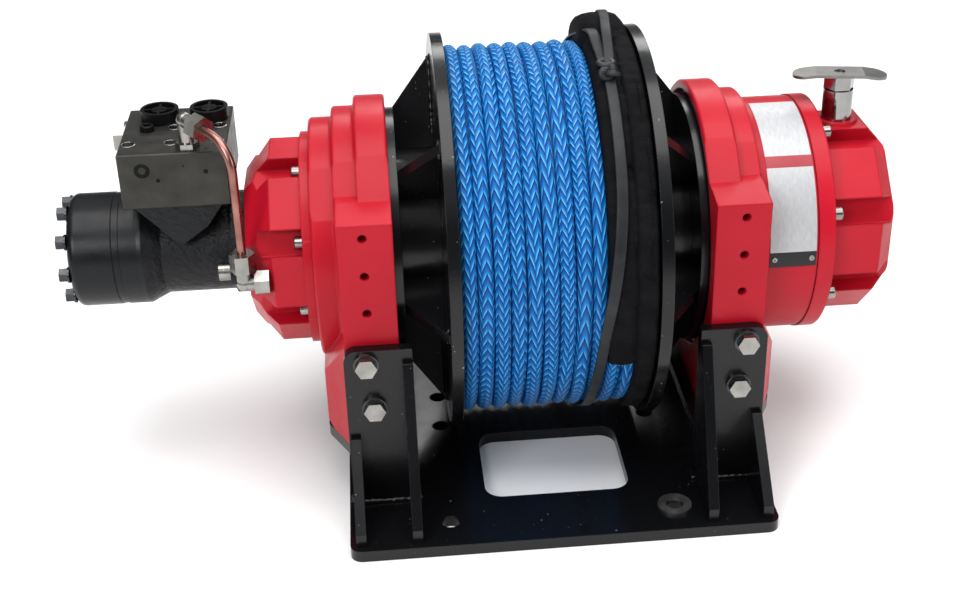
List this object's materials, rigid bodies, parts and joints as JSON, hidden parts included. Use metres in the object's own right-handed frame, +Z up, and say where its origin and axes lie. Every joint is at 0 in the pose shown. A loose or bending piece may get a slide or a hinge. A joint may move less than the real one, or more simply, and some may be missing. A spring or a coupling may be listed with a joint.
{
  "type": "planetary mooring winch",
  "caption": "Hydraulic mooring winch with a rope-filled drum between two red gear housings, bolted to a black welded base, with a clutch handle.",
  "frame": {"origin": "centre of the base bolt pattern, on the underside of the base plate, straight below the middle of the drum", "axes": "+X along the drum axis towards the clutch, -Y towards the front, +Z up"},
  "size_m": [0.8328, 0.484, 0.4441],
  "materials": {
    "black_paint": "glossy enamel over welded steel, with dust specks",
    "block_steel": "dark ground steel",
    "cap_plastic": "black moulded plastic",
    "chrome": "polished plating",
    "copper": "tarnished copper tube",
    "dark_fastener": "blackened steel",
    "handle_steel": "brushed stainless",
    "motor_paint": "satin black paint on rough casting",
    "plate_metal": "bare anodised sheet",
    "red_paint": "semi-gloss enamel on castings",
    "rope_fibre": "blue twelve-strand plaited fibre",
    "sleeve_fabric": "black woven sleeve, sewn seam",
    "strap_rubber": "grey rubber",
    "washer_zinc": "grey steel",
    "zinc_steel": "bright zinc-plated steel"
  },
  "bodies": {
    "frame": {"base_plate": "black_paint", "base_washer": "washer_zinc", "bell_screws": "zinc_steel", "block_plugs": "dark_fastener", "block_screws": "dark_fastener", "brake_bell": "red_paint", "brake_pipe": "copper", "clutch_collar": "chrome", "clutch_cover": "red_paint", "cover_screws": "zinc_steel", "front_left_upright": "black_paint", "front_right_upright": "black_paint", "gear_case": "red_paint", "left_bracket_bolts": "zinc_steel", "left_gussets": "black_paint", "left_housing": "red_paint", "left_shelf": "black_paint", "lower_elbow": "zinc_steel", "motor_body": "motor_paint", "motor_end_bolts": "dark_fastener", "motor_end_cover": "motor_paint", "motor_flange_screws": "zinc_steel", "motor_spacer": "motor_paint", "pipe_nuts": "zinc_steel", "port_caps": "cap_plastic", "rating_plate": "plate_metal", "rear_left_upright": "black_paint", "rear_right_upright": "black_paint", "right_bracket_bolts": "zinc_steel", "right_gussets": "black_paint", "right_housing": "red_paint", "right_shelf": "black_paint", "side_plug": "zinc_steel", "upper_elbow": "zinc_steel", "valve_block": "block_steel"},
    "drum": {"drum_barrel": "black_paint", "left_flange": "black_paint", "right_flange": "black_paint", "left_hub_tube": "black_paint", "right_hub_tube": "black_paint", "left_end_disc": "black_paint", "right_end_disc": "black_paint", "left_ribs": "black_paint", "right_ribs": "black_paint", "rope_pack": "rope_fibre", "rope_sleeve": "sleeve_fabric", "tie_strap": "strap_rubber"},
    "clutch_pin": {"clutch_plunger": "chrome"},
    "clutch_lever": {"clutch_hexagon": "chrome", "clutch_handle": "handle_steel"}
  },
  "joints": [
    {"name": "drum_spin", "type": "hinge", "parent": "frame", "child": "drum", "pos_m": [0, 0, 0.2333], "axis": [1, 0, 0], "continuous": true},
    {"name": "clutch_pull", "type": "slide", "parent": "frame", "child": "clutch_pin", "axis": [0, 0, 1], "range_m": [0, 0.01]},
    {"name": "clutch_turn", "type": "hinge", "parent": "clutch_pin", "child": "clutch_lever", "pos_m": [0.3058, 0, 0.3683], "axis": [0, 0, 1], "range_deg": [0, 90]}
  ]
}
